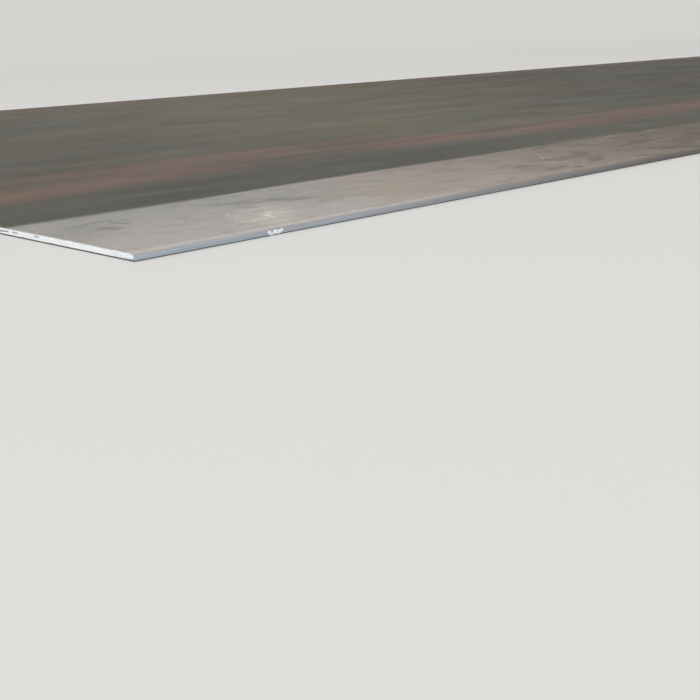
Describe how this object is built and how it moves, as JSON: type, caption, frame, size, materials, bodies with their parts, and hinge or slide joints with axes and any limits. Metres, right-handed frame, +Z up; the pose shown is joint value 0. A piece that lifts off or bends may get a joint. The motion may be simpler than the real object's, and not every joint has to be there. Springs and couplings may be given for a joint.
{
  "type": "steel plate",
  "caption": "Hot-rolled steel plate with rounded mill edges along its length and sheared ends, one end marked with white paint.",
  "frame": {"origin": "middle of the underside, on the surface that the plate lies on", "axes": "+X along the rolling direction, away from the end that is marked with white paint; +Y across the plate; +Z up, through the thickness"},
  "size_m": [6, 2, 0.008],
  "materials": {
    "mill_scale_steel": "satin",
    "marking_paint": "matte"
  },
  "bodies": {
    "root": {"steel_plate": "mill_scale_steel"}
  },
  "joints": []
}
